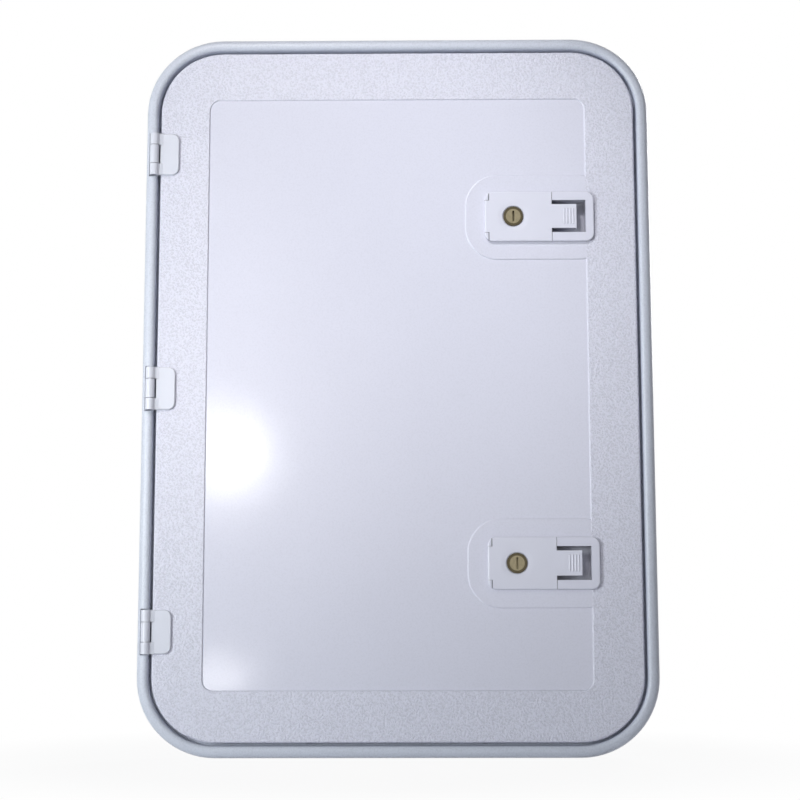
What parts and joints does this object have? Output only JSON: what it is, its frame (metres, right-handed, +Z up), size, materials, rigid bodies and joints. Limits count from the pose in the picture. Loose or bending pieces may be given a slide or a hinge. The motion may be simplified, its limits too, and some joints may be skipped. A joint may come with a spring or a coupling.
{
  "type": "caravan access door",
  "caption": "Moulded white access door for a caravan wall: rimmed frame with a neck, inset hinged leaf with a sunk panel, flap latches with key locks",
  "frame": {"origin": "on the flat back face of the frame's flange, in the bottom seating band, 10 mm up from the frame's lower edge and centred on the width", "axes": "+X to the latch side, +Y into the wall, +Z up; the front faces -Y and the wall's outer face is the plane Y = 0"},
  "size_m": [0.416, 0.0478, 0.59],
  "materials": {
    "frame_abs": "white moulded ABS, fine spark grain, satin",
    "skin_abs": "white moulded ABS, grained border and smooth semi-gloss panel",
    "liner_abs": "white vacuum-formed ABS, satin",
    "hinge_abs": "white moulded plastic, smooth",
    "latch_abs": "white moulded plastic, smooth",
    "flap_abs": "white moulded plastic, smooth",
    "seal_rubber": "black rubber bulb seal",
    "pin_steel": "zinc-plated steel",
    "lock_brass": "brushed nickel-brass ring",
    "plug_brass": "brushed brass plug",
    "bolt_plastic": "light grey acetal"
  },
  "bodies": {
    "frame": {"outer_frame": "frame_abs", "frame_seal": "seal_rubber", "upper_hinge_base": "hinge_abs", "middle_hinge_base": "hinge_abs", "lower_hinge_base": "hinge_abs", "upper_hinge_pin": "pin_steel", "middle_hinge_pin": "pin_steel", "lower_hinge_pin": "pin_steel"},
    "door": {"front_skin": "skin_abs", "inner_liner": "liner_abs", "upper_hinge_leaf": "hinge_abs", "middle_hinge_leaf": "hinge_abs", "lower_hinge_leaf": "hinge_abs", "upper_latch_housing": "latch_abs", "lower_latch_housing": "latch_abs", "upper_flap_pin": "pin_steel", "lower_flap_pin": "pin_steel", "upper_latch_bolt": "bolt_plastic", "lower_latch_bolt": "bolt_plastic", "upper_bolt_guide": "bolt_plastic", "lower_bolt_guide": "bolt_plastic"},
    "upper_flap": {"upper_pull_flap": "flap_abs", "upper_lock_barrel": "lock_brass"},
    "lower_flap": {"lower_pull_flap": "flap_abs", "lower_lock_barrel": "lock_brass"},
    "upper_plug": {"upper_lock_plug": "plug_brass", "upper_lock_cam": "pin_steel"},
    "lower_plug": {"lower_lock_plug": "plug_brass", "lower_lock_cam": "pin_steel"}
  },
  "joints": [
    {"name": "door_swing", "type": "hinge", "parent": "frame", "child": "door", "pos_m": [-0.2008, -0.016, 0.285], "axis": [0, 0, -1], "range_deg": [0, 160]},
    {"name": "upper_flap_pull", "type": "hinge", "parent": "door", "child": "upper_flap", "pos_m": [0.0734, -0.0156, 0.427], "axis": [0, 0, -1], "range_deg": [0, 25], "stiffness_Nm_per_rad": 0.05, "springref_deg": -17.19},
    {"name": "lower_flap_pull", "type": "hinge", "parent": "door", "child": "lower_flap", "pos_m": [0.0734, -0.0156, 0.143], "axis": [0, 0, -1], "range_deg": [0, 25], "stiffness_Nm_per_rad": 0.05, "springref_deg": -17.19},
    {"name": "upper_key_turn", "type": "hinge", "parent": "upper_flap", "child": "upper_plug", "pos_m": [0.0955, -0.0173, 0.427], "axis": [0, 1, 0], "range_deg": [0, 90]},
    {"name": "lower_key_turn", "type": "hinge", "parent": "lower_flap", "child": "lower_plug", "pos_m": [0.0955, -0.0173, 0.143], "axis": [0, 1, 0], "range_deg": [0, 90]}
  ]
}
